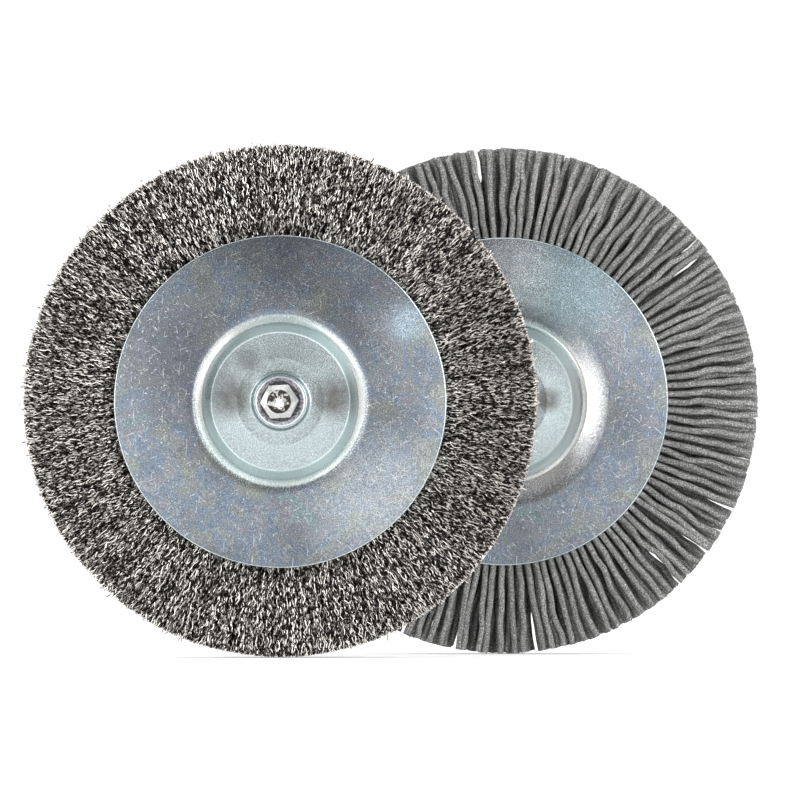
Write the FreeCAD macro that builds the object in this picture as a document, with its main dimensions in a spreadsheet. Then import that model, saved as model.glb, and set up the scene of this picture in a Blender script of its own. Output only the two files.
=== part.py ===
import FreeCAD, Part
import os

import Sketcher

# Two rotary wheel brushes with hexagonal drive shanks, standing side by side on
# their rims: a crimped steel wire brush in front and an abrasive nylon brush
# behind it. Each brush is a ring of bristles folded over a core ring and pinched
# between two dished sheet flanges. A tubular bush joins the flanges through a
# spacer, and the shank passes through the bush and is riveted over a washer.
#
# Every piece is drawn in its brush's own frame: Z runs along the shank towards
# its tip, and Z = 0 is the middle of the bristle ring. The placement then stands
# the brush up, so that the shank points to -Y and the rim touches Z = 0.

SIZES = {
    # bristle ring
    "brush_radius": 50.0,
    "rim_half_width": 6.5,
    "swell_half_width": 6.2,
    "swell_radius": 36.5,
    "pinch_radius": 33.0,
    "pinch_half_width": 4.5,
    "core_half_width": 4.9,
    "rim_round": 1.0,
    "core_radius": 18.2,
    "core_wire_radius": 1.4,
    # stamped flange
    "sheet": 1.0,
    "flange_radius": 32.5,
    "flange_height": 6.0,
    "flange_rim_height": 5.55,
    "flange_edge_round": 0.4,
    "lip_radius": 15.8,
    "lip_round": 2.4,
    "wall_offset": 0.616,
    "floor_corner_radius": 13.6,
    "floor_corner_height": 1.7,
    "floor_corner_round": 0.25,
    "seat_radius": 8.5,
    "seat_height": 2.0,
    "flare_foot_radius": 6.2,
    "flare_radius": 5.3,
    "flare_height": 3.0,
    "flange_hole_radius": 4.65,
    # hub
    "bush_radius": 4.6,
    "bush_bore_radius": 3.75,
    "bead_radius": 4.85,
    "bead_thickness": 0.7,
    "bead_round": 0.25,
    "roll_radius": 5.6,
    "bush_floor": 1.0,
    "rivet_hole_radius": 2.55,
    "spacer_radius": 8.2,
    "washer_radius": 5.0,
    "washer_thickness": 0.8,
    "washer_edge_round": 0.15,
    # shank
    "hex_across_flats": 6.35,
    "tip_height": 36.0,
    "tip_face_radius": 2.4,
    "chamfer_length": 1.3,
    "chamfer_outer_radius": 3.7,
    "cutter_margin": 1.0,
    "groove_depth_radius": 2.75,
    "groove_round": 2.4,
    "groove_from_tip": 11.0,
    "rivet_radius": 2.5,
    "rivet_head_radius": 3.9,
    "rivet_head_height": 1.1,
    "rivet_head_round": 0.7,
    "hex_turn": 4.0,
    # where the two brushes stand
    "axis_spacing": 44.0,
    "ring_spacing": 46.0,
}
BRUSHES = ("wire", "nylon")
LEAST_CHANGE = 1.0  # mm3, less than any one feature here adds or takes away
SAME_PLACE = 0.01  # mm, how closely an edge has to match the place it is named by

doc = FreeCAD.newDocument("wheel_brushes")
sheet = doc.addObject("Spreadsheet::Sheet", "Sizes")
for row, (alias, size) in enumerate(SIZES.items(), start=1):
    sheet.set(f"A{row}", alias)
    sheet.set(f"B{row}", str(size))
    sheet.setAlias(f"B{row}", alias)
doc.recompute()


def number(expression):
    """The value of a sum of sheet names and numbers, such as 'tip_height - sheet'."""
    total, sign = 0.0, 1
    for word in expression.split():
        if word in ("+", "-"):
            sign = 1 if word == "+" else -1
        else:
            total += sign * (SIZES[word] if word in SIZES else float(word))
    return total


def bound(expression):
    """The same sum as the document's expression engine reads it."""
    return " ".join(f"Sizes.{word}" if word in SIZES else word for word in expression.split())


def new_body(brush, piece):
    body = doc.addObject("PartDesign::Body", f"{brush}_{piece}")
    body.Label = f"{brush}_{piece}"
    return body


def new_sketch(body, name, plane):
    sketch = body.newObject("Sketcher::SketchObject", f"{body.Name}_{name}")
    datum = next(f for f in body.Origin.OriginFeatures if f.Role == plane)
    sketch.AttachmentSupport = [(datum, "")]
    sketch.MapMode = "FlatFace"
    return sketch


def pin_down(sketch, geometry, point, across, along):
    """Ties one point of a sketch to a radius and a height, each a sheet expression."""
    for kind, expression in (("DistanceX", across), ("DistanceY", along)):
        value = number(expression)
        index = sketch.addConstraint(
            Sketcher.Constraint(kind, -1, 1, geometry, point, value)
        )
        name = f"{kind}{index}"
        sketch.renameConstraint(index, name)
        sketch.setExpression(f"Constraints.{name}", bound(expression))


def outline(body, name, corners):
    """A closed outline of straight sides; each corner is a pair (radius, height)."""
    sketch = new_sketch(body, name, "XZ_Plane")
    spots = [FreeCAD.Vector(number(r), number(z), 0) for r, z in corners]
    for start, end in zip(spots, spots[1:] + spots[:1]):
        sketch.addGeometry(Part.LineSegment(start, end), False)
    count = len(corners)
    for side in range(count):
        sketch.addConstraint(
            Sketcher.Constraint("Coincident", side, 2, (side + 1) % count, 1)
        )
    for side, (radius, height) in enumerate(corners):
        pin_down(sketch, side, 1, radius, height)
    return sketch


def circle_section(body, name, radius, height, section):
    """A round section whose centre is at (radius, height)."""
    sketch = new_sketch(body, name, "XZ_Plane")
    centre = FreeCAD.Vector(number(radius), number(height), 0)
    sketch.addGeometry(Part.Circle(centre, FreeCAD.Vector(0, 0, 1), number(section)), False)
    index = sketch.addConstraint(Sketcher.Constraint("Radius", 0, number(section)))
    sketch.renameConstraint(index, "section")
    sketch.setExpression("Constraints.section", bound(section))
    pin_down(sketch, 0, 3, radius, height)
    return sketch


def turned(body, kind, sketch):
    """A Revolution or a Groove of the sketch, a full turn about the body's Z axis."""
    feature = body.newObject(f"PartDesign::{kind}", f"{sketch.Name}_{kind}")
    feature.Profile = sketch
    feature.ReferenceAxis = (sketch, ["V_Axis"])
    feature.Angle = 360
    doc.recompute()
    body.Tip = feature
    return feature


def ring_edges(shape, rings):
    """Names of the circular edges at the given (radius, height) places."""
    names = []
    for index, edge in enumerate(shape.Edges, start=1):
        curve = edge.Curve
        if not isinstance(curve, Part.Circle):
            continue
        for radius, height in rings:
            off = abs(curve.Radius - number(radius)) + abs(curve.Center.z - number(height))
            if off < SAME_PLACE:
                names.append(f"Edge{index}")
    return names


def rounded(body, base, rings, size):
    """Fillets the circular edges at the given places, with a radius from the sheet."""
    fillet = body.newObject("PartDesign::Fillet", f"{body.Name}_{size.replace(' ', '')}")
    names = ring_edges(base.Shape, rings)
    assert len(names) == len(rings), f"{body.Name}: {size} found {len(names)} edges"
    fillet.Base = (base, names)
    fillet.setExpression("Radius", bound(size))
    doc.recompute()
    body.Tip = fillet
    return fillet


def bristle_ring(brush):
    """The soft ring of bristles, plain, with a round groove for the core ring."""
    body = new_body(brush, "bristles")
    half = [
        ("core_radius", "core_half_width"),
        ("pinch_radius", "pinch_half_width"),
        ("swell_radius", "swell_half_width"),
        ("brush_radius", "rim_half_width"),
    ]
    mirrored = [(radius, f"- {height}") for radius, height in reversed(half)]
    ring = turned(body, "Revolution", outline(body, "section", half + mirrored))
    seat = circle_section(body, "core_seat", "core_radius", "0", "core_wire_radius")
    grooved = turned(body, "Groove", seat)
    assert grooved.Shape.Volume < ring.Shape.Volume - LEAST_CHANGE
    rims = [("brush_radius", "rim_half_width"), ("brush_radius", "- rim_half_width")]
    rounded(body, grooved, rims, "rim_round")
    return body


def core_ring(brush):
    """The steel ring that the bristles are folded over."""
    body = new_body(brush, "core_ring")
    section = circle_section(body, "section", "core_radius", "0", "core_wire_radius")
    turned(body, "Revolution", section)
    return body


def flange(brush, side):
    """A stamped flange: a band that leans back to the rim, a dish and a flared hole."""
    body = new_body(brush, f"{side}_flange")
    section = outline(
        body,
        "section",
        [
            ("flange_radius", "flange_rim_height"),
            ("lip_radius", "flange_height"),
            ("floor_corner_radius", "floor_corner_height"),
            ("seat_radius", "seat_height"),
            ("flare_foot_radius", "seat_height"),
            ("flare_radius", "flare_height"),
            ("flange_hole_radius", "flare_height"),
            ("flange_hole_radius", "seat_height - sheet"),
            ("seat_radius", "seat_height - sheet"),
            ("floor_corner_radius + wall_offset", "floor_corner_height - sheet"),
            ("lip_radius + wall_offset", "flange_height - sheet"),
            ("flange_radius", "flange_rim_height - sheet"),
        ],
    )
    pressed = turned(body, "Revolution", section)
    pressed = rounded(body, pressed, [("lip_radius", "flange_height")], "lip_round")
    under_lip = ("lip_radius + wall_offset", "flange_height - sheet")
    pressed = rounded(body, pressed, [under_lip], "lip_round - sheet")
    corner = ("floor_corner_radius", "floor_corner_height")
    pressed = rounded(body, pressed, [corner], "floor_corner_round")
    under_corner = ("floor_corner_radius + wall_offset", "floor_corner_height - sheet")
    pressed = rounded(body, pressed, [under_corner], "floor_corner_round + sheet")
    edge = ("flange_radius", "flange_rim_height")
    rounded(body, pressed, [edge], "flange_edge_round")
    return body


def spacer(brush):
    """The ring between the dished floors of the two flanges."""
    body = new_body(brush, "spacer")
    section = outline(
        body,
        "section",
        [
            ("flange_hole_radius", "seat_height - sheet"),
            ("spacer_radius", "seat_height - sheet"),
            ("spacer_radius", "sheet - seat_height"),
            ("flange_hole_radius", "sheet - seat_height"),
        ],
    )
    turned(body, "Revolution", section)
    return body


def hub_bush(brush):
    """The tube through both flanges, beaded in front, rolled over and closed behind."""
    body = new_body(brush, "hub_bush")
    front = "flare_height + bead_thickness"
    rear = "- flare_height - bead_thickness"
    section = outline(
        body,
        "section",
        [
            ("bush_bore_radius", front),
            ("bead_radius", front),
            ("bead_radius", "flare_height"),
            ("bush_radius", "flare_height"),
            ("bush_radius", "- flare_height"),
            ("roll_radius", "- flare_height"),
            ("roll_radius", rear),
            ("rivet_hole_radius", rear),
            ("rivet_hole_radius", f"{rear} + bush_floor"),
            ("bush_bore_radius", f"{rear} + bush_floor"),
        ],
    )
    tube = turned(body, "Revolution", section)
    rolled = [("bead_radius", front), ("bush_bore_radius", front), ("roll_radius", rear)]
    rounded(body, tube, rolled, "bead_round")
    return body


def rear_washer(brush):
    """The washer that the shank's rivet head bears on."""
    body = new_body(brush, "rear_washer")
    front = "- flare_height - bead_thickness"
    rear = f"{front} - washer_thickness"
    section = outline(
        body,
        "section",
        [
            ("rivet_hole_radius", front),
            ("washer_radius", front),
            ("washer_radius", rear),
            ("rivet_hole_radius", rear),
        ],
    )
    disc = turned(body, "Revolution", section)
    rounded(body, disc, [("washer_radius", rear)], "washer_edge_round")
    return body


def hexagon(sketch):
    """A regular hexagon about the origin, sized across its flats and slightly turned."""
    reach = SIZES["hex_across_flats"] / 3**0.5
    turn = FreeCAD.Rotation(FreeCAD.Vector(0, 0, 1), SIZES["hex_turn"])
    corners = []
    for corner in range(6):
        to_corner = FreeCAD.Rotation(FreeCAD.Vector(0, 0, 1), 60 * corner)
        corners.append(turn.multVec(to_corner.multVec(FreeCAD.Vector(reach, 0, 0))))
    for start, end in zip(corners, corners[1:] + corners[:1]):
        sketch.addGeometry(Part.LineSegment(start, end), False)
    circle = sketch.addGeometry(
        Part.Circle(FreeCAD.Vector(), FreeCAD.Vector(0, 0, 1), reach), True
    )
    sketch.addConstraint(Sketcher.Constraint("Coincident", circle, 3, -1, 1))
    for side in range(6):
        sketch.addConstraint(Sketcher.Constraint("Coincident", side, 2, (side + 1) % 6, 1))
        sketch.addConstraint(Sketcher.Constraint("PointOnObject", side, 1, circle))
    for side in range(1, 6):
        sketch.addConstraint(Sketcher.Constraint("Equal", 0, side))
    index = sketch.addConstraint(Sketcher.Constraint("Radius", circle, reach))
    sketch.renameConstraint(index, "corner_reach")
    sketch.setExpression("Constraints.corner_reach", "Sizes.hex_across_flats / sqrt(3)")
    line = sketch.addGeometry(Part.LineSegment(FreeCAD.Vector(), corners[0]), True)
    sketch.addConstraint(Sketcher.Constraint("Coincident", line, 1, -1, 1))
    sketch.addConstraint(Sketcher.Constraint("Coincident", line, 2, 0, 1))
    index = sketch.addConstraint(
        Sketcher.Constraint("Angle", -1, 1, line, 1, turn.Angle)
    )
    sketch.renameConstraint(index, "turn")
    sketch.setExpression("Constraints.turn", "Sizes.hex_turn * 1 deg")


def shank(brush):
    """The hexagonal shank, with its chamfered tip, latch groove and rivet head."""
    body = new_body(brush, "shank")
    seat = "bush_floor - flare_height - bead_thickness"
    length = "tip_height + flare_height + bead_thickness - bush_floor"
    bearing = "- flare_height - bead_thickness - washer_thickness"
    end = f"{bearing} - rivet_head_height"
    section = outline(
        body,
        "rivet",
        [
            ("0", seat),
            ("rivet_radius", seat),
            ("rivet_radius", bearing),
            ("rivet_head_radius", bearing),
            ("rivet_head_radius", end),
            ("0", end),
        ],
    )
    rivet = turned(body, "Revolution", section)
    head = rounded(body, rivet, [("rivet_head_radius", end)], "rivet_head_round")

    sketch = new_sketch(body, "hexagon", "XY_Plane")
    hexagon(sketch)
    sketch.AttachmentOffset = FreeCAD.Placement(
        FreeCAD.Vector(0, 0, number(seat)), FreeCAD.Rotation()
    )
    sketch.setExpression("AttachmentOffset.Base.z", bound(seat))
    bar = body.newObject("PartDesign::Pad", f"{body.Name}_bar")
    bar.Profile = sketch
    bar.setExpression("Length", bound(length))
    doc.recompute()
    body.Tip = bar
    assert bar.Shape.Volume > head.Shape.Volume + LEAST_CHANGE

    corner_cut = outline(
        body,
        "tip_chamfer",
        [
            ("tip_face_radius", "tip_height"),
            ("chamfer_outer_radius + cutter_margin", "tip_height"),
            ("chamfer_outer_radius + cutter_margin", "tip_height - chamfer_length"),
            ("chamfer_outer_radius", "tip_height - chamfer_length"),
        ],
    )
    chamfered = turned(body, "Groove", corner_cut)
    assert chamfered.Shape.Volume < bar.Shape.Volume - LEAST_CHANGE
    ring = circle_section(
        body,
        "latch_groove",
        "groove_depth_radius + groove_round",
        "tip_height - groove_from_tip",
        "groove_round",
    )
    grooved = turned(body, "Groove", ring)
    assert grooved.Shape.Volume < chamfered.Shape.Volume - LEAST_CHANGE
    return body


def stand(body, brush, faces_back=False):
    """Stands a piece up with its brush: shank towards -Y, rim on Z = 0."""
    quarter = -90 if faces_back else 90
    body.Placement.Rotation = FreeCAD.Rotation(FreeCAD.Vector(1, 0, 0), quarter)
    side = -1 if brush == "wire" else 1
    middle = "(Sizes.tip_height - Sizes.rim_half_width) / 2"
    places = {
        "x": f"{side} * Sizes.axis_spacing / 2",
        "y": f"{side} * Sizes.ring_spacing / 2 + {middle}",
        "z": "Sizes.brush_radius",
    }
    for axis, expression in places.items():
        body.setExpression(f"Placement.Base.{axis}", expression)


pieces = []
for brush in BRUSHES:
    for make in (shank, hub_bush, spacer, core_ring, bristle_ring, rear_washer):
        piece = make(brush)
        stand(piece, brush)
        pieces.append(piece)
    for side in ("front", "rear"):
        piece = flange(brush, side)
        stand(piece, brush, faces_back=side == "rear")
        pieces.append(piece)
doc.recompute()

for item in doc.Objects:
    bad = {"Invalid", "Error"} & set(item.State)
    assert not bad, f"{item.Name}: {item.State}"
os.makedirs("parts", exist_ok=True)
for piece in pieces:
    shape = piece.Shape
    assert not shape.isNull() and shape.isValid(), piece.Label
    assert len(shape.Solids) == 1, f"{piece.Label} has {len(shape.Solids)} solids"
    shape.exportStep(f"parts/{piece.Label}.step")
    box = shape.BoundBox
    print(
        f"{piece.Label:20s} {shape.Volume:10.1f} mm3"
        f"  x {box.XMin:7.2f} {box.XMax:7.2f}"
        f"  y {box.YMin:7.2f} {box.YMax:7.2f}"
        f"  z {box.ZMin:7.2f} {box.ZMax:7.2f}"
    )
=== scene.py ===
from math import atan2, cos, pi, radians, sin, tan

import bmesh
import bpy
import numpy as np
from bpy.props import (
    FloatProperty,
    FloatVectorProperty,
    IntProperty,
    PointerProperty,
)
from mathutils import Matrix, Vector, noise


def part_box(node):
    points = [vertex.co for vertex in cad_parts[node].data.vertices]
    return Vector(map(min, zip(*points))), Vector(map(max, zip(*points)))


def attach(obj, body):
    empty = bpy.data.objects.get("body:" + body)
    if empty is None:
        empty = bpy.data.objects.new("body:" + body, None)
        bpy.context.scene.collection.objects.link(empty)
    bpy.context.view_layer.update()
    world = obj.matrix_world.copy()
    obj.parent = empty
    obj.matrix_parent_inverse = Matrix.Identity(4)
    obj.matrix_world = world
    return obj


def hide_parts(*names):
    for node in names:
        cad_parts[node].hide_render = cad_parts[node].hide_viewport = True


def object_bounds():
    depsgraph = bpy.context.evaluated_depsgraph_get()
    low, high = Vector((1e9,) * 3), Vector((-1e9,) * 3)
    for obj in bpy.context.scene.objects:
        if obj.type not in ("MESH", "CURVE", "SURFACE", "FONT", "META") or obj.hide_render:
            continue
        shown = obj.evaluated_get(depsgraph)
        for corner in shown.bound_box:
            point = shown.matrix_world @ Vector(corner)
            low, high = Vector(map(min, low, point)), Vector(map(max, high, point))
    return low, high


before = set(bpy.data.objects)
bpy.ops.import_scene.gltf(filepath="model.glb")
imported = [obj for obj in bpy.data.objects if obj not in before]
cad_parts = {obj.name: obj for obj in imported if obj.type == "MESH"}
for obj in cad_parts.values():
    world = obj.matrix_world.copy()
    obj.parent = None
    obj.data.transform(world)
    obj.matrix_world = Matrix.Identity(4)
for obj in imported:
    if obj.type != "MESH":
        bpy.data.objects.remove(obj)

bl_info = {
    "name": "Wheel Brush Pair",
    "version": (1, 0, 0),
    "blender": (4, 5, 0),
    "location": "3D View > Sidebar > Brushes",
    "description": "Builds a crimped wire wheel brush and an abrasive nylon wheel brush",
    "category": "Object",
}

MM = 0.001
CAD_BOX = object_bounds()
BRUSHES = ("wire", "nylon")
STEPS_ROUND = 192  # steps in a full turn of a flange or bristle root
CLEARANCE = 0.05 * MM  # left between pieces that only just touch


def box_of(node):
    low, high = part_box(node)
    return Vector(low), Vector(high)


def axis_of(brush):
    """The middle of a brush's bristle ring: its axis in X and Z, its mid-plane in Y."""
    low, high = box_of(f"{brush}_core_ring")
    return (low + high) / 2


def radius_of(node):
    low, high = box_of(node)
    return (high.x - low.x) / 2


def half_width_of(node):
    low, high = box_of(node)
    return (high.y - low.y) / 2


def front_of(node, brush):
    """How far a node reaches in front of its brush's mid-plane, towards the shank's tip."""
    return axis_of(brush).y - box_of(node)[0].y


def back_of(node, brush):
    """Where a node's rear end is: how far in front of the mid-plane, negative behind it."""
    return axis_of(brush).y - box_of(node)[1].y


# ---------------------------------------------------------------- settings


class HubSettings(bpy.types.PropertyGroup):
    """Shapes of the pressed and turned hub pieces that the boxes of the parts in model.glb don't
    tell.
    """

    sheet: FloatProperty(
        name="Sheet", description="Thickness of the flange sheet", default=1.0 * MM, unit="LENGTH"
    )
    rim_drop: FloatProperty(
        name="Rim drop",
        description="How far the flange's face leans back from the lip to the rim",
        default=0.45 * MM,
        unit="LENGTH",
    )
    lip_radius: FloatProperty(
        name="Lip", description="Radius where the dish begins", default=15.8 * MM, unit="LENGTH"
    )
    corner_radius: FloatProperty(
        name="Floor corner", description="Radius of the dish floor", default=13.6 * MM, unit="LENGTH"
    )
    zinc_colour: FloatVectorProperty(
        name="Zinc",
        description="Main colour of the blue zinc plating",
        default=(0.2, 0.22, 0.236),
        size=3,
        subtype="COLOR",
    )
    floor_colour: FloatVectorProperty(
        name="Dish floor",
        description="Colour of the plating on the floor of the dish",
        default=(0.37, 0.425, 0.435),
        size=3,
        subtype="COLOR",
    )
    # Far paler than the face: painted light, which stands in for the bright bands on the lip and the
    # wall.
    wall_painted_light: FloatVectorProperty(
        name="Dish wall",
        description="Colour of the plating on the wall of the dish",
        default=(0.7, 0.8, 0.805),
        size=3,
        subtype="COLOR",
    )


class WireSettings(bpy.types.PropertyGroup):
    """The crimped steel wires."""

    count: IntProperty(
        name="Wires", description="Number of wires in the ring", default=11200, min=80
    )
    thickness: FloatProperty(
        name="Thickness", description="Wire diameter", default=0.235 * MM, unit="LENGTH"
    )
    crimp_length: FloatProperty(
        name="Crimp length", description="Length of one crimp wave", default=3.0 * MM, unit="LENGTH"
    )
    crimp_height: FloatProperty(
        name="Crimp height", description="Amplitude of the crimp", default=0.38 * MM, unit="LENGTH"
    )
    # So dark that it is partly painted shade, which stands in for the shade between the wires.
    colour: FloatVectorProperty(
        name="Colour",
        description="Colour of the steel wire",
        default=(0.0062, 0.0051, 0.0042),
        size=3,
        subtype="COLOR",
    )


class NylonSettings(bpy.types.PropertyGroup):
    """The abrasive nylon filaments, which stand in columns side by side."""

    columns: IntProperty(
        name="Columns", description="Columns of filaments round the ring", default=127, min=12
    )
    rows: IntProperty(
        name="Rows", description="Filaments in a column, front to back", default=8, min=2
    )
    thickness: FloatProperty(
        name="Thickness", description="Filament diameter", default=1.2 * MM, unit="LENGTH"
    )
    colour: FloatVectorProperty(
        name="Colour",
        description="Colour of the gritted nylon",
        default=(0.178, 0.178, 0.174),
        size=3,
        subtype="COLOR",
    )


class StageSettings(bpy.types.PropertyGroup):
    """Camera and light."""

    camera_distance: FloatProperty(
        name="Camera distance", description="From the front brush", default=3.0, unit="LENGTH"
    )
    view_width: FloatProperty(
        name="View width", description="Width seen at the front brush", default=0.15625, unit="LENGTH"
    )
    side_light: FloatProperty(
        name="Side light", description="Power of each side softbox", default=13.0, unit="POWER"
    )
    front_light: FloatProperty(
        name="Front light", description="Power of each front softbox", default=1.8, unit="POWER"
    )
    top_light: FloatProperty(
        name="Top light", description="Power of the overhead softbox", default=5.0, unit="POWER"
    )
    room_light: FloatProperty(
        name="Room light", description="Light from the walls behind the object", default=0.8
    )
    front_share: FloatProperty(
        name="Front share",
        description="Share of the room light that comes from in front",
        default=0.2,
        subtype="FACTOR",
    )


# ---------------------------------------------------------------- shader maths


class Wire:
    """A node socket that can be used in Python expressions."""

    def __init__(self, tree, socket):
        self.tree = tree
        self.socket = socket

    def _math(self, operation, first, second=None):
        return self.tree.node(
            "ShaderNodeMath", {"operation": operation}, {0: first, 1: second}
        )

    def __add__(self, other):
        return self._math("ADD", self, other)

    def __radd__(self, other):
        return self._math("ADD", other, self)

    def __sub__(self, other):
        return self._math("SUBTRACT", self, other)

    def __rsub__(self, other):
        return self._math("SUBTRACT", other, self)

    def __mul__(self, other):
        return self._math("MULTIPLY", self, other)

    def __rmul__(self, other):
        return self._math("MULTIPLY", other, self)

    def __abs__(self):
        return self._math("ABSOLUTE", self)


class Tree:
    """A node tree under construction."""

    def __init__(self, tree):
        self.nodes = tree.nodes
        self.links = tree.links

    def node(self, kind, settings=None, values=None, output=0):
        """Any node: its settings first, then the values or links of its sockets."""
        made = self.nodes.new(kind)
        for key, setting in (settings or {}).items():
            if key == "stops":
                self._stops(made.color_ramp, setting)
            else:
                setattr(made, key, setting)
        for key, value in (values or {}).items():
            self._feed(made.inputs[key], value)
        return Wire(self, made.outputs[output])

    def _feed(self, socket, value):
        if isinstance(value, Wire):
            self.links.new(value.socket, socket)
        elif value is not None:
            socket.default_value = value

    @staticmethod
    def _stops(ramp, stops):
        while len(ramp.elements) > 1:
            ramp.elements.remove(ramp.elements[-1])
        for index, (place, colour) in enumerate(stops):
            element = ramp.elements[0] if index == 0 else ramp.elements.new(place)
            element.position = place
            element.color = (*colour, 1.0)

    def smooth(self, value, low, high):
        """0 below low, 1 above high and smooth between them."""
        return self.node(
            "ShaderNodeMapRange",
            {"interpolation_type": "SMOOTHSTEP"},
            {"Value": value, "From Min": low, "From Max": high},
        )


class Finish(Tree):
    """A material under construction: one Principled shader and the nodes that feed it."""

    def __init__(self, name):
        self.material = bpy.data.materials.new(name)
        self.material.use_nodes = True
        super().__init__(self.material.node_tree)
        self.shader = self.nodes["Principled BSDF"]

    def set(self, **sockets):
        """Feeds sockets of the shader, named with underscores for spaces."""
        for key, value in sockets.items():
            self._feed(self.shader.inputs[key.replace("_", " ")], value)

    def place(self, centre):
        """Object coordinates about a centre, in millimetres."""
        coordinates = self.node("ShaderNodeTexCoord", output="Object")
        return self.node(
            "ShaderNodeMapping",
            {"vector_type": "POINT"},
            {"Vector": coordinates, "Location": -centre / MM, "Scale": (1 / MM,) * 3},
        )

    def noise(self, where, scale, detail=2.0, roughness=0.5, distortion=0.0, seed=0.0):
        return self.node(
            "ShaderNodeTexNoise",
            {"noise_dimensions": "4D"},
            {
                "Vector": where,
                "W": seed,
                "Scale": scale,
                "Detail": detail,
                "Roughness": roughness,
                "Distortion": distortion,
            },
        )

    def ramp(self, factor, *stops):
        return self.node("ShaderNodeValToRGB", {"stops": stops}, {"Fac": factor})

    def mix(self, factor, first, second, blend="MIX"):
        made = self.nodes.new("ShaderNodeMix")
        made.data_type = "RGBA"
        made.blend_type = blend
        self._feed(made.inputs[0], factor)
        for index, colour in ((6, first), (7, second)):
            colour = colour if isinstance(colour, Wire) else (*colour[:3], 1.0)
            self._feed(made.inputs[index], colour)
        return Wire(self, made.outputs[2])

    def bump(self, height, strength, distance):
        normal = self.node(
            "ShaderNodeBump",
            values={"Height": height, "Strength": strength, "Distance": distance},
        )
        self._feed(self.shader.inputs["Normal"], normal)

    def from_axis(self, where, x=0.0, z=0.0):
        """Distance from a line along Y, which is the brush's own axis unless x or z is given."""
        flat = self.node(
            "ShaderNodeVectorMath",
            {"operation": "MULTIPLY"},
            {0: where, 1: (1.0, 0.0, 1.0)},
        )
        return self.node(
            "ShaderNodeVectorMath",
            {"operation": "DISTANCE"},
            {0: flat, 1: (x, 0.0, z)},
            output="Value",
        )

    def scratches(self, where, angle):
        """1 on short hair-thin lines that run at an angle across the face."""
        turned = self.node(
            "ShaderNodeVectorRotate",
            {"rotation_type": "Y_AXIS"},
            {"Vector": where, "Angle": angle},
        )
        drawn_out = self.node(
            "ShaderNodeVectorMath", {"operation": "MULTIPLY"}, {0: turned, 1: (0.45, 1.0, 6.5)}
        )
        return self.smooth(self.noise(drawn_out, 1.0, detail=0.0, seed=angle), 0.77, 0.82)

    def spot(self, where, x, z, radius):
        """1 at a place on the brush's face, fading to 0 at the radius."""
        return 1.0 - self.smooth(self.from_axis(where, x, z), 0.15 * radius, radius)


# ---------------------------------------------------------------- finishes


# PAINTED_LIGHT is painted light and PAINTED_SHADE painted shade. SLATE_TONE_AND_SHADE is a darker
# tone of the plating and, in the patches, painted shade. TEAL and BLUISH are tones of the plating.
PAINTED_LIGHT = (0.85, 0.92, 0.95)
PAINTED_SHADE = (0.11, 0.106, 0.098)
SLATE_TONE_AND_SHADE = (0.1, 0.108, 0.124)
TEAL = (0.32, 0.44, 0.47)
BLUISH = (0.32, 0.4, 0.46)


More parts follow.
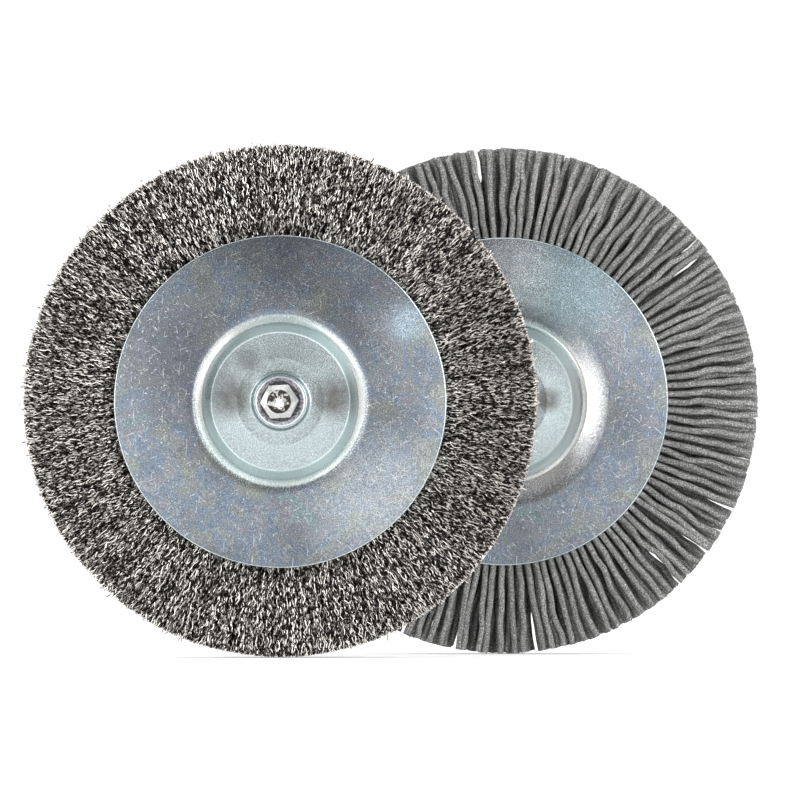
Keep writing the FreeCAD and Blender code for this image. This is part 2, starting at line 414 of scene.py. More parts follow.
def zinc_finish(name, centre, hub, rim, light_shade_and_tone_patches, painted_highlights):
    """Blue zinc plating on pressed sheet: satin, speckled, with iridescent patches.

    clouds are soft patches: some are tones of the plating, and the rest are painted light and painted
    shade: x, z, radius, strength and colour.
    sheens are painted highlights on stretches of the lip: x, z, radius,
    how far in and how far out of the lip they reach.
    """
    zinc = Finish(name)
    where = zinc.place(centre)
    from_axis = zinc.from_axis(where)
    base = Vector(hub.zinc_colour)
    tint = zinc.ramp(
        zinc.noise(where, 0.13, detail=3.0, roughness=0.55, distortion=0.6),
        (0.34, base * Vector((1.08, 1.06, 0.9))),
        (0.41, base * Vector((0.96, 0.96, 0.87))),
        (0.46, base * Vector((0.98, 0.98, 0.95))),
        (0.52, base * Vector((0.75, 0.85, 1.03))),
        (0.57, base),
        (0.63, base * Vector((0.98, 0.88, 0.98))),
        (0.70, base * Vector((0.85, 1.02, 1.0))),
    )
    shade = zinc.noise(where, 0.09, detail=4.0, roughness=0.6, seed=4.0)
    tint = zinc.mix(zinc.smooth(shade, 0.4, 0.62) * 0.5, tint, SLATE_TONE_AND_SHADE)
    lip, corner = hub.lip_radius / MM, hub.corner_radius / MM
    on_wall = 1.0 - zinc.smooth(from_axis, lip + 0.4, lip + 1.5)
    in_dish = 1.0 - zinc.smooth(from_axis, lip - 1.1, lip - 0.4)
    on_floor = 1.0 - zinc.smooth(from_axis, corner - 0.25, corner + 0.1)
    # Painted highlights: a pale line along the corner of the dish floor, and another along the edge
    # of the rim.
    corner_highlight = 1.0 - zinc.smooth(abs(from_axis - corner), 0.06, 0.3)
    rim_highlight = zinc.smooth(from_axis, rim / MM - 0.32, rim / MM - 0.14)
    # The lip and the wall take the pale wall colour: painted light.
    colour = zinc.mix(on_wall, tint, hub.wall_painted_light)
    colour = zinc.mix(on_floor, colour, hub.floor_colour)
    colour = zinc.mix(corner_highlight * 0.6 + rim_highlight, colour, (0.8, 0.92, 0.92))
    ragged = 0.5 + zinc.noise(where, 0.5, detail=3.0)
    # Painted light and painted shade go in here, with the plating's own tones.
    for x, z, radius, strength, tone in light_shade_and_tone_patches:
        reach = zinc.spot(where, x, z, radius) * ragged
        colour = zinc.mix(reach * strength, colour, tone)
    # Painted highlights: these stretches of the lip are made near white.
    for x, z, radius, inside, outside in painted_highlights:
        inner = zinc.smooth(from_axis, lip - inside, lip - 0.5 * inside)
        outer = 1.0 - zinc.smooth(from_axis, lip, lip + outside)
        reach = zinc.spot(where, x, z, radius) * inner * outer
        colour = zinc.mix(reach * 0.95, colour, (1.0, 1.0, 1.0))
    grain = zinc.noise(where, 4.2, detail=3.0, roughness=0.7)
    colour = zinc.mix(
        0.8 - 0.35 * on_floor,
        colour,
        zinc.ramp(grain, (0.36, (0.2,) * 3), (0.5, (0.5,) * 3), (0.66, (0.9,) * 3)),
        "OVERLAY",
    )
    glints = zinc.smooth(zinc.noise(where, 2.8, detail=1.0, seed=2.0), 0.66, 0.72)
    marks = glints + zinc.scratches(where, 0.4) + zinc.scratches(where, 1.5)
    marks = marks + zinc.scratches(where, 2.4)
    colour = zinc.mix(marks * 0.32 * (1.0 - on_wall), colour, (0.9, 0.93, 0.95))
    rough = 0.2 + 0.12 * grain + 0.22 * in_dish * (1.0 - on_floor)
    zinc.set(Base_Color=colour, Metallic=1.0, Roughness=rough)
    zinc.bump(grain, 0.1, 0.04 * MM)
    return zinc.material


def bright_steel_finish(name, centre, colour, roughness=0.22, marks_depth=0.7, rim=None):
    """Turned or drawn steel with faint marks, and a painted highlight along its edge if rim gives its
    radius.
    """
    steel = Finish(name)
    where = steel.place(centre)
    marks = steel.noise(where, 2.6, detail=4.0, roughness=0.7)
    shade = steel.ramp(
        marks,
        (0.38, (1.0 - marks_depth) * Vector(colour)),
        (0.62, Vector(colour)),
    )
    if rim:
        # Painted highlight: a thin, near white ring at the edge.
        rim_highlight = steel.smooth(steel.from_axis(where), rim / MM - 0.26, rim / MM - 0.14)
        shade = steel.mix(rim_highlight, shade, (0.95, 0.95, 0.97))
    steel.set(Base_Color=shade, Metallic=1.0, Roughness=roughness + 0.15 * marks)
    steel.bump(marks, 0.2, 0.08 * MM)
    return steel.material


def sheared_finish(name, centre):
    """The rough broken end of the shank: dark, coarse and glinting."""
    end = Finish(name)
    where = end.place(centre)
    grain = end.noise(where, 3.6, detail=4.0, roughness=0.8)
    torn = 1.0 - end.smooth(end.from_axis(where, 0.0, -0.3), 0.2, 1.75)
    bright = end.smooth(grain + 0.28 * torn, 0.58, 0.7)
    end.set(
        Base_Color=end.mix(bright, (0.035, 0.029, 0.025), (0.97, 0.97, 0.95)),
        Metallic=1.0 - 0.85 * bright,
        Roughness=0.45,
    )
    end.bump(grain, 0.5, 0.2 * MM)
    return end.material


def wire_finish(name, centre, settings):
    """Spring steel wire, near black, with bright metal in random short patches and at its worn tips.
    The near black is partly oxide and partly painted shade. The patches are partly bare metal and
    partly painted highlight.
    """
    wire = Finish(name)
    where = wire.place(centre)
    strand = wire.node("ShaderNodeAttribute", {"attribute_name": "strand"}, output="Fac")
    base = Vector(settings.colour)
    shade = wire.ramp(strand, (0.0, base * 0.35), (1.0, base * 3.0))
    bright_patch_noise = wire.noise(where, 0.95, detail=1.0, seed=strand * 90.0)
    rim = radius_of("wire_bristles") / MM
    worn = wire.smooth(wire.from_axis(where), rim - 0.45, rim - 0.1)
    # Bright patches: partly bare metal and partly painted highlight on the wires.
    burnish_and_highlight = wire.smooth(bright_patch_noise + 0.07 * worn, 0.461, 0.563)
    burnish_and_highlight = burnish_and_highlight * burnish_and_highlight
    shade = wire.mix(burnish_and_highlight, shade, (0.98, 0.93, 0.875))
    wire.set(Base_Color=shade, Metallic=burnish_and_highlight, Roughness=0.32, Specular_IOR_Level=0.08)
    return wire.material


def nylon_finish(name, centre, settings):
    """Nylon filled with abrasive grit: matt grey with light and dark specks."""
    nylon = Finish(name)
    where = nylon.place(centre)
    strand = nylon.node("ShaderNodeAttribute", {"attribute_name": "strand"}, output="Fac")
    grit = nylon.noise(where, 3.6, detail=3.0, roughness=0.85)
    base = Vector(settings.colour)
    shade = nylon.ramp(
        grit,
        (0.38, base * 0.12),
        (0.48, base * 0.8),
        (0.55, base * 1.4),
        (0.64, base * 3.8),
    )
    tone = nylon.ramp(strand, (0.0, (0.34,) * 3), (1.0, (0.65,) * 3))
    shade = nylon.mix(0.5, shade, tone, "OVERLAY")
    nylon.set(Base_Color=shade, Roughness=0.6)
    nylon.bump(grit, 0.5, 0.12 * MM)
    return nylon.material


# ---------------------------------------------------------------- mesh helpers


def stand(centre, faces_back=False):
    """Takes a piece from its brush's own frame, shank along +Z, to its place."""
    quarter = -pi / 2 if faces_back else pi / 2
    return Matrix.Translation(centre) @ Matrix.Rotation(quarter, 4, "X")


def rounded_outline(corners, steps=6):
    """Corner points (radius, height, rounding) joined up, each rounding as an arc."""
    outline = []
    count = len(corners)
    for index, (radius, height, rounding) in enumerate(corners):
        here = Vector((radius, height))
        if rounding <= 0:
            outline.append(here)
            continue
        before = (Vector(corners[index - 1][:2]) - here).normalized()
        after = (Vector(corners[(index + 1) % count][:2]) - here).normalized()
        half = before.angle(after) / 2
        reach = rounding / tan(half)
        middle = here + (before + after).normalized() * (rounding / sin(half))
        start, end = here + before * reach - middle, here + after * reach - middle
        first = atan2(start.y, start.x)
        sweep = (atan2(end.y, end.x) - first + pi) % (2 * pi) - pi
        for step in range(steps + 1):
            angle = first + sweep * step / steps
            outline.append(middle + rounding * Vector((cos(angle), sin(angle))))
    return outline


def turned_mesh(name, outline, place, steps=STEPS_ROUND):
    """An outline in the half plane of radius and height, spun a full turn.

    It is closed, unless it starts and ends on the axis.
    """
    mesh = bmesh.new()
    ring = [mesh.verts.new((point.x, 0.0, point.y)) for point in outline]
    pairs = list(zip(ring, ring[1:]))
    if outline[0].x > 0:
        pairs.append((ring[-1], ring[0]))
    edges = [mesh.edges.new(pair) for pair in pairs]
    bmesh.ops.spin(
        mesh,
        geom=ring + edges,
        cent=(0, 0, 0),
        axis=(0, 0, 1),
        angle=2 * pi,
        steps=steps,
        use_merge=True,
    )
    bmesh.ops.remove_doubles(mesh, verts=mesh.verts, dist=1e-7)
    bmesh.ops.recalc_face_normals(mesh, faces=mesh.faces)
    bmesh.ops.transform(mesh, matrix=place, verts=mesh.verts)
    return finished(name, mesh)


SHARP_ANGLE = radians(28)


def finished(name, mesh):
    """A bmesh made into an object at the origin, with smooth faces and sharp corners."""
    data = bpy.data.meshes.new(name)
    for face in mesh.faces:
        face.smooth = True
    for edge in mesh.edges:
        if edge.is_manifold and edge.calc_face_angle(0.0) > SHARP_ANGLE:
            edge.smooth = False
    mesh.to_mesh(data)
    mesh.free()
    piece = bpy.data.objects.new(name, data)
    bpy.context.collection.objects.link(piece)
    return piece


def belongs(piece, brush, node, slot, *finishes):
    """Paints a piece, lets it ride with its brush and stand for its CAD node."""
    for finish in finishes:
        piece.data.materials.append(finish)
    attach(piece, f"{brush}_brush")
    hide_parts(node)
    return piece


# ---------------------------------------------------------------- bristles


def strand_mesh(name, paths, thickness, sides, tones):
    """Many thin rods as one mesh. paths is an array of strands, points and X, Y, Z."""
    outline = bpy.data.curves.new(f"{name}_outline", "CURVE")
    around = outline.splines.new("POLY")
    around.points.add(sides - 1)
    around.use_cyclic_u = True
    for side, point in enumerate(around.points):
        angle = 2 * pi * side / sides
        point.co = (thickness / 2 * cos(angle), thickness / 2 * sin(angle), 0.0, 1.0)
    section = bpy.data.objects.new(f"{name}_outline", outline)
    bpy.context.collection.objects.link(section)
    curve = bpy.data.curves.new(name, "CURVE")
    curve.dimensions = "3D"
    curve.twist_mode = "MINIMUM"
    curve.bevel_mode = "OBJECT"
    curve.bevel_object = section
    curve.use_fill_caps = True
    points = paths.shape[1]
    for path in paths:
        spline = curve.splines.new("POLY")
        spline.points.add(points - 1)
        spline.points.foreach_set("co", np.c_[path, np.ones(points)].ravel())
    rods = bpy.data.objects.new(name, curve)
    bpy.context.collection.objects.link(rods)
    data = bpy.data.meshes.new_from_object(rods.evaluated_get(bpy.context.evaluated_depsgraph_get()))
    for maker, its_curve in ((rods, curve), (section, outline)):
        bpy.data.objects.remove(maker)
        bpy.data.curves.remove(its_curve)
    data.name = name
    data.shade_smooth()
    while data.uv_layers:
        data.uv_layers.remove(data.uv_layers[0])
    each = len(data.vertices) // len(paths)
    strand = data.attributes.new("strand", "FLOAT", "POINT")
    strand.data.foreach_set("value", np.repeat(tones, each).astype(np.float32))
    piece = bpy.data.objects.new(name, data)
    bpy.context.collection.objects.link(piece)
    return piece


def smoothstep(value):
    value = np.clip(value, 0.0, 1.0)
    return value * value * (3 - 2 * value)


def to_frame(centre, angle, radius, depth):
    """Arrays of angle, radius and depth behind the mid-plane, as X, Y, Z."""
    return np.stack(
        (
            centre.x + radius * np.cos(angle),
            centre.y + depth,
            centre.z + radius * np.sin(angle),
        ),
        axis=-1,
    )


def away_from_floor(angle):
    """1 over most of the rim and 0 where it stands on the surface."""
    lowest = -pi / 2
    under = np.abs((angle - lowest + pi) % (2 * pi) - pi)
    return smoothstep((under - radians(12)) / radians(10))


def wire_paths(centre, settings, ring, first_angle, last_angle, count, chance):
    """Crimped wires that spread from the flanges to a slightly ragged rim."""
    points = 21
    along = np.linspace(0.0, 1.0, points)[None, :]
    spread = (np.arange(count) + chance.random(count)) / count
    angle = first_angle + (last_angle - first_angle) * spread
    tip = ring["rim"] - 0.12 * MM - np.abs(chance.normal(0.0, 0.15 * MM, count))
    # One wire in fifty is a stray that stands out from the rim.
    stray = (chance.random(count) < 0.02) * chance.uniform(0.2, 1.0, count) * MM
    tip = tip + (stray + 0.25 * MM) * away_from_floor(angle)
    radius = ring["root"] + (tip[:, None] - ring["root"]) * along
    depth = chance.uniform(-1.0, 1.0, count)[:, None]
    swell = smoothstep((radius - ring["pinch"]) / (4 * MM))
    depth = depth * (ring["pinch_half"] + (ring["rim_half"] - ring["pinch_half"]) * swell)
    lean = chance.normal(0.0, 0.1, count)[:, None] * (radius - ring["root"])
    bow = chance.normal(0.0, 0.4 * MM, count)[:, None] * np.sin(pi * along)
    nod = chance.normal(0.0, 0.05, count)[:, None] * (radius - ring["root"])
    wave = settings.crimp_length * chance.uniform(0.85, 1.15, count)[:, None]
    height = settings.crimp_height * chance.uniform(0.75, 1.25, count)[:, None]
    phase = 2 * pi * (chance.random(count)[:, None] + radius / wave)
    plane = chance.uniform(0, pi, count)[:, None]
    sideways = lean + bow + height * np.cos(plane) * np.sin(phase)
    depth = depth + nod + height * np.sin(plane) * np.sin(phase)
    trim = np.abs(chance.normal(0.0, 0.35 * MM, count))[:, None]
    limit = ring["rim_half"] - 0.2 * MM - trim * along
    depth = np.clip(depth, -limit, limit)
    return to_frame(centre, angle[:, None] + sideways / radius, radius, depth)


def nylon_paths(centre, settings, ring, columns, chance):
    """Filaments in columns that fan out and wander a little towards the rim."""
    points = 9
    rows = settings.rows
    count = len(columns) * rows
    along = np.linspace(0.0, 1.0, points)[None, :]
    pitch = 2 * pi / settings.columns
    row = np.tile(np.linspace(-1.0, 1.0, rows), len(columns))
    # From the front, three rows stand in line and the rest half a column further on.
    staggered = np.tile(np.arange(rows) >= 3, len(columns))
    angle = np.repeat(columns * pitch, rows) + 0.5 * pitch * staggered
    tip = ring["rim"] - 0.05 * MM - np.abs(chance.normal(0.0, 0.22 * MM, count))
    tip = tip + 0.25 * MM * away_from_floor(angle)
    radius = ring["root"] + (tip[:, None] - ring["root"]) * along
    room = pitch * ring["rim"] - settings.thickness
    column_lean = np.repeat(chance.normal(0.0, 0.24, len(columns)), rows)
    own_lean = chance.uniform(-0.6, 0.6, count)
    # The second row leans into the gaps between the columns of the first.
    second = np.tile(np.arange(rows) == 1, len(columns))
    to_gap = chance.choice((-1.0, 1.0), count) * chance.uniform(0.7, 1.1, count)
    own_lean = np.where(second, to_gap, own_lean)
    lean = room * (own_lean + column_lean)
    start = chance.normal(0.0, 0.08 * MM, count)[:, None]
    sway = chance.normal(0.0, 0.17 * MM, (3, count))[:, :, None]
    turns = chance.random((3, count))[:, :, None]
    waves = sum(
        sway[k] * np.sin(2 * pi * (turns[k] + along * (0.8 + 0.7 * k))) for k in range(3)
    )
    sideways = start + lean[:, None] * along**1.2 + waves * smoothstep(3 * along)
    swell = smoothstep((radius - ring["pinch"]) / (6 * MM))
    half = ring["pinch_half"] + (ring["rim_half"] - ring["pinch_half"]) * swell
    depth = row[:, None] * (half - settings.thickness / 2)
    depth = depth + chance.normal(0.0, 0.25 * MM, count)[:, None] * along
    limit = ring["rim_half"] - settings.thickness / 2
    depth = np.clip(depth, -limit, limit)
    return to_frame(centre, angle[:, None] + sideways / radius, radius, depth)


def bristle_ring(brush):
    """Where a brush's bristles start, spread and end, from the CAD ring's box."""
    low, high = box_of(f"{brush}_bristles")
    flange = radius_of(f"{brush}_front_flange")
    sheet = bpy.context.scene.brush_hub.sheet
    drop = bpy.context.scene.brush_hub.rim_drop
    pinch_half = front_of(f"{brush}_front_flange", brush) - drop - sheet - CLEARANCE
    return {
        "rim": min(high.x - low.x, high.z - low.z) / 2,
        "rim_half": (high.y - low.y) / 2,
        "pinch": flange,
        "pinch_half": pinch_half,
        "root": flange - 1.2 * MM,
    }


def bristle_root(brush, finish, slot):
    """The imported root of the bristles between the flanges, round the core ring."""
    ring = bristle_ring(brush)
    core = radius_of(f"{brush}_core_ring")
    wire = half_width_of(f"{brush}_core_ring")
    middle = core - wire
    seat = [
        Vector((middle + wire * cos(a), wire * sin(a)))
        for a in np.linspace(pi / 2, -pi / 2, 13)
    ]
    half = ring["pinch_half"]
    outer = ring["pinch"] - 0.3 * MM
    outline = [
        Vector((middle, half)),
        *seat,
        Vector((middle, -half)),
        Vector((outer, -half)),
        Vector((outer, half)),
    ]
    piece = turned_mesh(f"{brush}_bristle_root", outline, stand(axis_of(brush)))
    strand = piece.data.attributes.new("strand", "FLOAT", "POINT")
    strand.data.foreach_set("value", np.full(len(piece.data.vertices), 0.1, np.float32))
    belongs(piece, brush, f"{brush}_bristles", slot, finish)


# ---------------------------------------------------------------- operators


# What a hub bush's rolled end stands out by, past its tube and past its front bead.
BUSH_ROLL = 1.0 * MM
BEAD_INSET = 0.75 * MM


class BRUSH_OT_flanges(bpy.types.Operator):
    """Presses the four dished flanges"""

    bl_idname = "brush.flanges"
    bl_label = "Flanges"

    # How far outside the lip the face starts to lean in, how far it has sunk at the lip,
    # and the radius that it then bends down with.
    crowns = {"wire": (2.2 * MM, 0.1 * MM, 2.4 * MM), "nylon": (5.0 * MM, 0.42 * MM, 1.3 * MM)}
    # Patches about the axis, as zinc_finish takes them: the bluish and teal ones are tones of the
    # plating, the pale ones painted light, and the slate and brown ones painted shade.
    light_shade_and_tone_patches = {
        "wire": (
            (24.6, 15.4, 5.6, 0.75, BLUISH),
            (-9.6, 1.0, 6.2, 0.85, PAINTED_SHADE),
            (10.4, 0.8, 6.2, 0.85, PAINTED_SHADE),
            (-6.3, 8.0, 3.6, 0.55, PAINTED_SHADE),
            (18.0, -18.0, 18.0, 0.17, PAINTED_LIGHT),
            (-22.0, 10.0, 20.0, 0.75, SLATE_TONE_AND_SHADE),
            (-2.0, 26.0, 13.0, 0.2, SLATE_TONE_AND_SHADE),
        ),
        "nylon": (
            (8.6, 0.4, 3.8, 0.85, PAINTED_SHADE),
            (13.0, 24.0, 17.0, 0.6, TEAL),
            (0.0, 27.0, 13.0, 0.5, PAINTED_LIGHT),
            (28.0, -4.0, 15.0, 0.4, SLATE_TONE_AND_SHADE),
            (8.0, -24.0, 14.0, 0.35, SLATE_TONE_AND_SHADE),
            (-9.6, 1.0, 4.4, 0.4, PAINTED_SHADE),
        ),
    }
    # Painted highlights on stretches of the lip, as zinc_finish takes them.
    painted_highlights = {
        "wire": ((-14.0, 6.0, 18.0, 1.2, 1.6), (15.6, 2.0, 14.0, 1.2, 1.4)),
        "nylon": ((17.5, 0.0, 18.0, 2.8, 6.0), (7.0, -17.0, 16.0, 1.6, 6.0)),
    }

    # Radii of the dish: where the flat floor ends, and the foot and top of the hub's flare.
    flat_floor, flare_foot, flare_top = 8.5 * MM, 5.8 * MM, 5.2 * MM
    # How far the floor slopes down from there to its corner.
    floor_slope = 0.3 * MM
    # What the back of the steep wall is moved outwards by, in sheet thicknesses, to make
    # the wall as thick as the sheet.
    wall_shift = 0.616

    def execute(self, context):
        hub = context.scene.brush_hub
        for brush in BRUSHES:
            rim = radius_of(f"{brush}_front_flange")
            # The plating's patches, some of them painted light and shade, and its painted highlights.
            marks = self.light_shade_and_tone_patches[brush], self.painted_highlights[brush]
            zinc = zinc_finish(f"{brush}_zinc", axis_of(brush), hub, rim, *marks)
            for side in ("front", "rear"):
                self.flange(brush, side, hub, zinc)
        return {"FINISHED"}

    def flange(self, brush, side, hub, zinc):
        node = f"{brush}_{side}_flange"
        rim = radius_of(node)
        sheet, lip, corner = hub.sheet, hub.lip_radius, hub.corner_radius
        face = front_of(f"{brush}_front_flange", brush)
        seat = half_width_of(f"{brush}_spacer") + sheet
        foot = seat - self.floor_slope
        flare = seat + sheet
        hole = radius_of(f"{brush}_hub_bush") - BUSH_ROLL + CLEARANCE
        wall = self.wall_shift * sheet
        edge = face - hub.rim_drop
        crown, sink, bend = self.crowns[brush]
        outline = rounded_outline(
            [
                (rim, edge, 0.4 * MM),
                (lip + crown, face, 9.0 * MM),
                (lip, face - sink, bend),
                (corner, foot, 0.25 * MM),
                (self.flat_floor, seat, 6.0 * MM),
                (self.flare_foot, seat, 0.6 * MM),
                (self.flare_top, flare, 0.3 * MM),
                (hole, flare, 0.0),
                (hole, seat - sheet, 0.0),
                (self.flat_floor, seat - sheet, 0.0),
                (corner + wall, foot - sheet, 1.25 * MM),
                (lip + wall, face - sink - sheet, 0.6 * bend),
                (lip + crown, face - sheet, 9.0 * MM),
                (rim, edge - sheet, 0.0),
            ],
            steps=8,
        )
        place = stand(axis_of(brush), faces_back=side == "rear")
        piece = turned_mesh(node.replace("flange", "pressed_flange"), outline, place)
        belongs(piece, brush, node, "zinc_plate", zinc)


class BRUSH_OT_hubs(bpy.types.Operator):
    """Turns the hub bushes and finishes the washers, spacers and core rings"""

    bl_idname = "brush.hubs"
    bl_label = "Hub bushes"

    def execute(self, context):
        for brush in BRUSHES:
            centre = axis_of(brush)
            bead = radius_of(f"{brush}_hub_bush") - BEAD_INSET
            bright = bright_steel_finish(
                f"{brush}_bright_steel", centre, (0.46, 0.46, 0.51), marks_depth=0.93, rim=bead
            )
            plain = bright_steel_finish(f"{brush}_plain_steel", centre, (0.3, 0.29, 0.28), 0.4)
            self.bush(brush, bright)
            for part, finish in (("rear_washer", bright), ("spacer", plain), ("core_ring", plain)):
                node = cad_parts[f"{brush}_{part}"]
                for slot in node.material_slots:
                    slot.material = finish
        return {"FINISHED"}

    def bush(self, brush, finish):
        node = f"{brush}_hub_bush"
        front, rear = front_of(node, brush), back_of(node, brush)
        roll = radius_of(node)
        tube, bead, bore = roll - BUSH_ROLL, roll - BEAD_INSET, roll - 1.85 * MM
        rivet = 2.55 * MM
        floor = rear + 1.0 * MM
        bead_depth = 0.7 * MM
        outline = rounded_outline(
            [
                (bore, front, 0.25 * MM),
                (bead, front, 0.25 * MM),
                (bead, front - bead_depth, 0.15 * MM),
                (tube, front - bead_depth, 0.0),
                (tube, rear + bead_depth, 0.0),
                (roll, rear + bead_depth, 0.2 * MM),
                (roll, rear, 0.25 * MM),
                (rivet, rear, 0.0),
                (rivet, floor, 0.0),
                (bore, floor, 0.0),
            ]
        )
        piece = turned_mesh(f"{brush}_turned_bush", outline, stand(axis_of(brush)), 96)
        belongs(piece, brush, node, "bush_steel", finish)


class BRUSH_OT_shanks(bpy.types.Operator):
    """Makes the two hexagonal shanks"""

    bl_idname = "brush.shanks"
    bl_label = "Shanks"

    def execute(self, context):
        for brush in BRUSHES:
            centre = axis_of(brush)
            drawn = bright_steel_finish(
                f"{brush}_drawn_bar", centre, (0.62, 0.63, 0.61), 0.24, marks_depth=0.4
            )
            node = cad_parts[f"{brush}_shank"]
            for slot in node.material_slots:
                slot.material = drawn
            self.sheared_end(brush, centre)
        return {"FINISHED"}

    def sheared_end(self, brush, centre):
        """The torn face that the bar was left with when it was cut to length."""
        tip = front_of(f"{brush}_shank", brush)
        sunk = tip - 0.3 * MM  # the disc's back, inside the bar
        edge = 2.3 * MM
        rings = 14
        coarseness = 1400.0  # of the torn grain, per metre
        outline = [Vector((0.0, sunk)), Vector((edge, sunk))]
        outline += [Vector((edge * ring / rings, tip)) for ring in range(rings, -1, -1)]
        piece = turned_mesh(f"{brush}_sheared_end", outline, Matrix(), 48)
        for vertex in piece.data.vertices:
            if vertex.co.z > (sunk + tip) / 2:
                torn = noise.fractal(vertex.co * coarseness, 1.0, 2.0, 4)
                vertex.co.z += (0.04 + 0.14 * torn) * MM
        piece.data.transform(stand(centre))
        piece.data.materials.append(sheared_finish(f"{brush}_sheared_steel", centre))
        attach(piece, f"{brush}_brush")


class BRUSH_OT_wire_bristles(bpy.types.Operator):
    """Fills the front brush with crimped steel wire"""

    bl_idname = "brush.wire_bristles"
    bl_label = "Wire bristles"

    def execute(self, context):
        settings = context.scene.brush_wire
        centre = axis_of("wire")
        finish = wire_finish("crimped_wire", centre, settings)
        bristle_root("wire", finish, "steel_wire")
        ring = bristle_ring("wire")
        chance = np.random.default_rng(11)
        sectors = 8
        for sector in range(sectors):
            first, last = (2 * pi * (sector + k) / sectors for k in (0, 1))
            count = settings.count // sectors
            paths = wire_paths(centre, settings, ring, first, last, count, chance)
            tones = chance.random(count)
            name = f"wire_bristles_{sector + 1}"
            piece = strand_mesh(name, paths, settings.thickness, 3, tones)
            belongs(piece, "wire", "wire_bristles", "steel_wire", finish)
        return {"FINISHED"}


class BRUSH_OT_nylon_bristles(bpy.types.Operator):
    """Fills the rear brush with abrasive nylon filaments"""

    bl_idname = "brush.nylon_bristles"
    bl_label = "Nylon bristles"

    def execute(self, context):
        settings = context.scene.brush_nylon
        centre = axis_of("nylon")
        finish = nylon_finish("gritted_nylon", centre, settings)
        bristle_root("nylon", finish, "abrasive_nylon")
        ring = bristle_ring("nylon")
        chance = np.random.default_rng(23)
        halves = np.array_split(np.arange(settings.columns), 2)
        for index, columns in enumerate(halves, start=1):
            paths = nylon_paths(centre, settings, ring, columns, chance)
            tones = chance.random(len(paths))
            name = f"nylon_bristles_{index}"
            piece = strand_mesh(name, paths, settings.thickness, 8, tones)
            belongs(piece, "nylon", "nylon_bristles", "abrasive_nylon", finish)
        return {"FINISHED"}


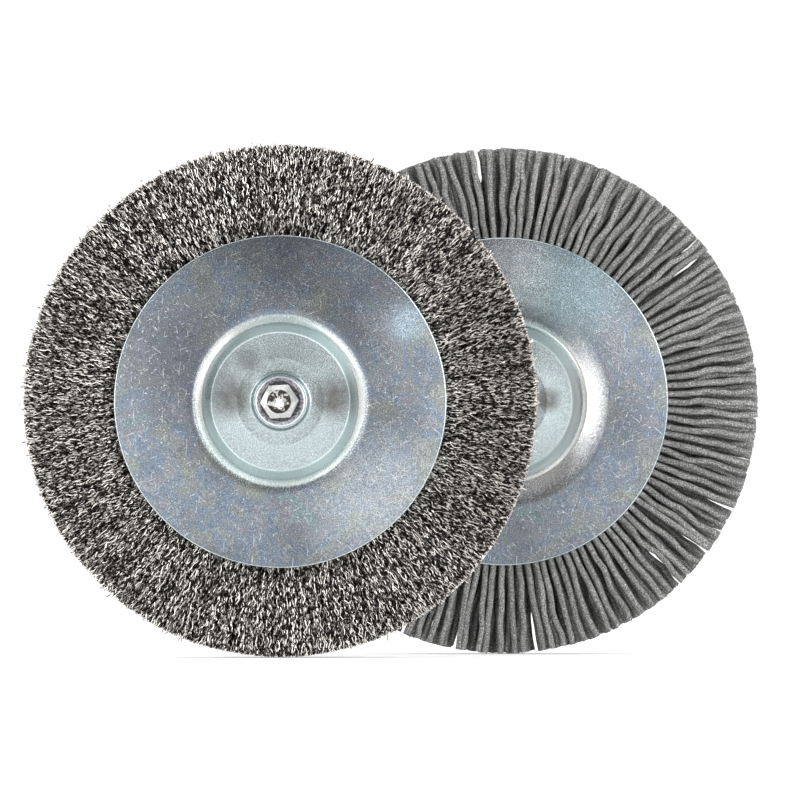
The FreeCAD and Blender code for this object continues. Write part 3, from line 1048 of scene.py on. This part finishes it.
class BRUSH_OT_stage(bpy.types.Operator):
    """Sets the floor, the lights and the camera"""

    bl_idname = "brush.stage"
    bl_label = "Stage"

    def execute(self, context):
        stage = context.scene.brush_stage
        self.floor()
        self.surroundings(context.scene, stage)
        centre = (Vector(CAD_BOX[0]) + Vector(CAD_BOX[1])) / 2
        place = Vector((0.85, -0.8, 0.3))
        self.softbox("right_light", place, centre, (0.9, 1.0), stage.side_light)
        place = Vector((-0.95, -0.5, 0.3))
        self.softbox("left_light", place, centre, (1.3, 1.0), stage.side_light)
        for side in (-1, 1):
            place = Vector((side * 0.4, -1.9, 0.15))
            self.softbox(f"front_light_{side}", place, centre, (0.26, 0.4), stage.front_light)
        place = Vector((0.0, 0.1, 1.6))
        self.softbox("top_light", place, centre, (1.6, 1.2), stage.top_light)
        self.camera(context.scene, stage)
        return {"FINISHED"}

    def floor(self):
        mesh = bmesh.new()
        bmesh.ops.create_grid(mesh, x_segments=1, y_segments=1, size=60.0)
        piece = finished("floor", mesh)
        white = Finish("white_floor")
        grain = white.noise(white.place(Vector((0, 0, 0))), 0.02)
        shade = white.ramp(grain, (0.3, (0.9, 0.9, 0.9)), (0.7, (0.93, 0.93, 0.93)))
        white.set(Base_Color=shade, Roughness=0.9)
        white.set(Emission_Color=(1.0, 1.0, 1.0, 1.0), Emission_Strength=0.3)
        piece.data.materials.append(white.material)

    def surroundings(self, scene, stage):
        """A white room to look at, whose walls light the object less from the front."""
        world = bpy.data.worlds.new("studio")
        world.use_nodes = True
        scene.world = world
        room = Tree(world.node_tree)
        direction = room.node("ShaderNodeTexCoord", output="Generated")
        split = room.nodes.new("ShaderNodeSeparateXYZ")
        room.links.new(direction.socket, split.inputs[0])
        back, up = (Wire(room, split.outputs[axis]) for axis in ("Y", "Z"))
        front = room.smooth(0.0 - back, 0.0, 0.9)
        light = stage.room_light * (1.0 - (1.0 - stage.front_share) * front)
        light = light + 0.35 * room.smooth(up, 0.4, 1.0)
        lit = room.node(
            "ShaderNodeBackground", values={"Color": (1.0, 1.0, 1.0, 1.0), "Strength": light}
        )
        shown = room.node(
            "ShaderNodeBackground", values={"Color": (1.0, 1.0, 1.0, 1.0), "Strength": 1.05}
        )
        seen = room.node("ShaderNodeLightPath", output="Is Camera Ray")
        mixed = room.node("ShaderNodeMixShader", values={0: seen, 1: lit, 2: shown})
        room.links.new(mixed.socket, room.nodes["World Output"].inputs["Surface"])
        scene.view_settings.view_transform = "Standard"

    def softbox(self, name, place, aim, size, power):
        light = bpy.data.lights.new(name, "AREA")
        light.shape = "RECTANGLE"
        light.size, light.size_y = size
        light.energy = power
        lamp = bpy.data.objects.new(name, light)
        lamp.location = place
        lamp.rotation_euler = (aim - place).to_track_quat("-Z", "Y").to_euler()
        lamp.visible_camera = False
        bpy.context.collection.objects.link(lamp)

    def camera(self, scene, stage):
        wire = axis_of("wire")
        lens = bpy.data.cameras.new("camera")
        lens.sensor_width = 36.0
        lens.lens = 36.0 * stage.camera_distance / stage.view_width
        lens.clip_end = 100.0
        camera = bpy.data.objects.new("camera", lens)
        right, up = 23.34 * MM, 0.3 * MM  # of the front brush's axis
        camera.location = wire + Vector((right, -stage.camera_distance, up))
        camera.rotation_euler = (pi / 2, 0.0, 0.0)
        bpy.context.collection.objects.link(camera)
        scene.camera = camera


class BRUSH_PT_panel(bpy.types.Panel):
    """Lists the brushes' settings and the steps that build them"""

    bl_label = "Wheel brushes"
    bl_idname = "BRUSH_PT_panel"
    bl_space_type = "VIEW_3D"
    bl_region_type = "UI"
    bl_category = "Brushes"

    def draw(self, context):
        for group in (name for name, _ in GROUPS):
            settings = getattr(context.scene, group)
            for key in settings.__annotations__:
                self.layout.prop(settings, key)
        for step in STEPS:
            self.layout.operator(step.bl_idname)


GROUPS = (
    ("brush_hub", HubSettings),
    ("brush_wire", WireSettings),
    ("brush_nylon", NylonSettings),
    ("brush_stage", StageSettings),
)
STEPS = (
    BRUSH_OT_stage,
    BRUSH_OT_flanges,
    BRUSH_OT_hubs,
    BRUSH_OT_shanks,
    BRUSH_OT_wire_bristles,
    BRUSH_OT_nylon_bristles,
)


def register():
    for name, group in GROUPS:
        bpy.utils.register_class(group)
        setattr(bpy.types.Scene, name, PointerProperty(type=group))
    for step in (*STEPS, BRUSH_PT_panel):
        bpy.utils.register_class(step)


def unregister():
    for step in reversed((*STEPS, BRUSH_PT_panel)):
        bpy.utils.unregister_class(step)
    for name, group in reversed(GROUPS):
        delattr(bpy.types.Scene, name)
        bpy.utils.unregister_class(group)


def main():
    register()
    for step in STEPS:
        group, action = step.bl_idname.split(".")
        getattr(getattr(bpy.ops, group), action)()


if __name__ == "__main__":
    main()
